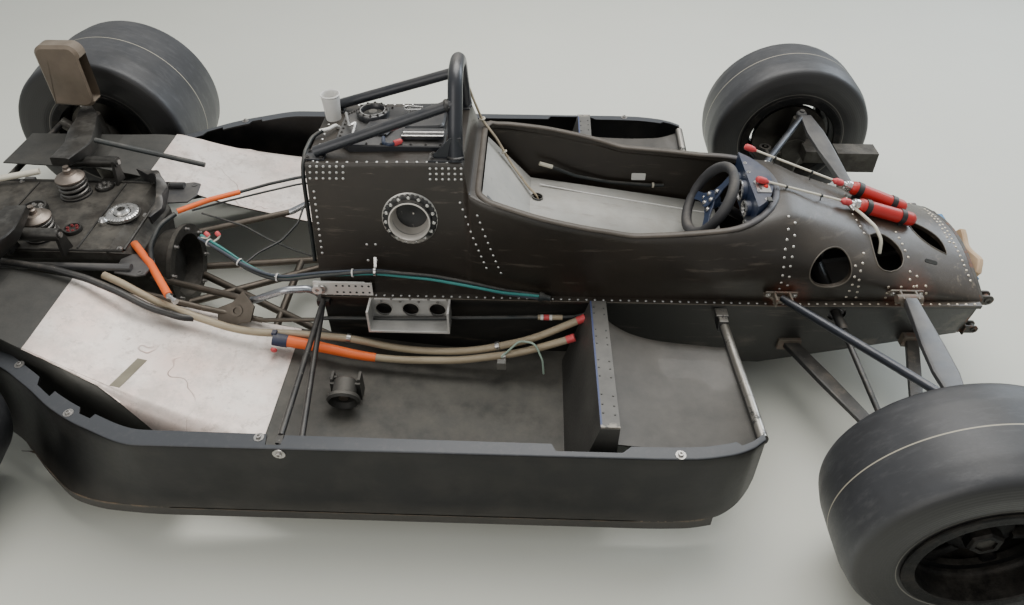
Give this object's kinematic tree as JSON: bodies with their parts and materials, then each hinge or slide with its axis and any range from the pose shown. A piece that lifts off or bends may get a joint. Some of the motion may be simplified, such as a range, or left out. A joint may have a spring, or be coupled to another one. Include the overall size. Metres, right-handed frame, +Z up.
{
  "type": "open wheel racing car",
  "caption": "Open wheel racing car from the early eighties, stripped of nose, engine and wings, on slick tyres",
  "frame": {"origin": "on the ground below the middle of the car's length, on its centre plane", "axes": "+X forward, +Y to the car's left, +Z up"},
  "size_m": [3.34, 2.059, 0.983],
  "materials": {
    "dark_composite": "satin resin over woven cloth, worn at the edges",
    "black_panel": "satin black with chipped flange",
    "dark_panel": "matt, dusty",
    "blue_black_panel": "glossy blue-black",
    "grey_liner": "matt grey sheet, scuffed",
    "grey_floor": "dusty dark grey-green sheet",
    "bright_sheet": "dull bright sheet with stains and creases",
    "bright_alloy": "bright turned",
    "machined_alloy": "machined, dull",
    "red_paint": "glossy red bottles with black straps",
    "cast_alloy": "rough cast, oily",
    "wheel_alloy": "dark painted cast alloy",
    "dark_steel": "satin black paint, worn",
    "bare_steel": "bare, brown-grey",
    "spring_steel": "bright coils and caps",
    "disc_iron": "ground faces, dark hat",
    "tyre_rubber": "smooth slick rubber, dusty",
    "wheel_grip": "dark grip, matt",
    "tan_hose": "matt tan rubber",
    "cable": "bundled cables with ties",
    "tan_composite": "bare resin cloth",
    "foam": "worn foam",
    "cream_rod": "cream tube with red caps",
    "white_plastic": "white"
  },
  "bodies": {
    "chassis": {"tub_lower": "dark_composite", "tub_upper": "dark_composite", "front_bulkhead": "machined_alloy", "foam_board": "foam", "fuel_cell_top": "dark_panel", "breather_cup": "white_plastic", "side_port": "bright_alloy", "roll_hoop": "dark_steel", "cockpit_liner": "grey_liner", "dash_panel": "blue_black_panel", "steering_column": "dark_steel", "bottles": "red_paint", "pull_rods": "cream_rod", "side_panels": "black_panel", "radiator_bulkheads": "dark_composite", "inlet_fairings": "dark_panel", "tunnel_roofs": "grey_floor", "heat_shields": "bright_sheet", "pod_struts": "dark_steel", "coolant_hoses": "tan_hose", "cable_loom": "cable", "mount_plates": "machined_alloy", "engine_frame": "bare_steel", "bell_housing": "cast_alloy", "gearbox": "cast_alloy", "gearbox_covers": "machined_alloy", "side_links": "dark_steel", "spring_dampers": "spring_steel", "rear_uprights": "cast_alloy", "rear_arms": "dark_steel", "rear_ducts": "tan_composite", "front_arms": "dark_steel"},
    "wheel_fr": {"tyre_front_right": "tyre_rubber", "rim_front_right": "wheel_alloy", "brake_front_right": "disc_iron"},
    "wheel_fl": {"tyre_front_left": "tyre_rubber", "rim_front_left": "wheel_alloy", "brake_front_left": "disc_iron"},
    "wheel_rr": {"tyre_rear_right": "tyre_rubber", "rim_rear_right": "wheel_alloy", "drive_rear_right": "disc_iron"},
    "wheel_rl": {"tyre_rear_left": "tyre_rubber", "rim_rear_left": "wheel_alloy", "drive_rear_left": "disc_iron"},
    "knuckle_r": {"knuckle_right": "cast_alloy"},
    "knuckle_l": {"knuckle_left": "cast_alloy"},
    "rack": {"steering_rack": "bare_steel"},
    "steering_wheel_body": {"steering_wheel": "wheel_grip"}
  },
  "joints": [
    {"name": "steer_left", "type": "hinge", "parent": "chassis", "child": "knuckle_l", "pos_m": [1.33, 0.69, 0.306], "axis": [0, 0, 1], "range_deg": [-16, 16]},
    {"name": "steer_right", "type": "hinge", "parent": "chassis", "child": "knuckle_r", "pos_m": [1.33, -0.69, 0.306], "axis": [0, 0, 1], "range_deg": [-16, 16]},
    {"name": "rack_slide", "type": "slide", "parent": "chassis", "child": "rack", "axis": [0, 1, 0], "range_m": [-0.02894, 0.02894]},
    {"name": "steering_wheel_turn", "type": "hinge", "parent": "chassis", "child": "steering_wheel_body", "pos_m": [0.856, 0, 0.54], "axis": [-0.866, 0, 0.5], "range_deg": [-160, 160]},
    {"name": "roll_front_right", "type": "hinge", "parent": "knuckle_r", "child": "wheel_fr", "pos_m": [1.33, -0.8635, 0.306], "axis": [0, 1, 0], "continuous": true},
    {"name": "roll_front_left", "type": "hinge", "parent": "knuckle_l", "child": "wheel_fl", "pos_m": [1.33, 0.8635, 0.306], "axis": [0, 1, 0], "continuous": true},
    {"name": "roll_rear_right", "type": "hinge", "parent": "chassis", "child": "wheel_rr", "pos_m": [-1.333, -0.826, 0.329], "axis": [0, 1, 0], "continuous": true},
    {"name": "roll_rear_left", "type": "hinge", "parent": "chassis", "child": "wheel_rl", "pos_m": [-1.333, 0.826, 0.329], "axis": [0, 1, 0], "continuous": true}
  ],
  "couplings": [
    {"joint": "steer_right", "follows": "steer_left", "ratio": 1},
    {"joint": "rack_slide", "follows": "steer_left", "m_per_rad": -0.10364},
    {"joint": "steering_wheel_turn", "follows": "steer_left", "ratio": 10}
  ]
}
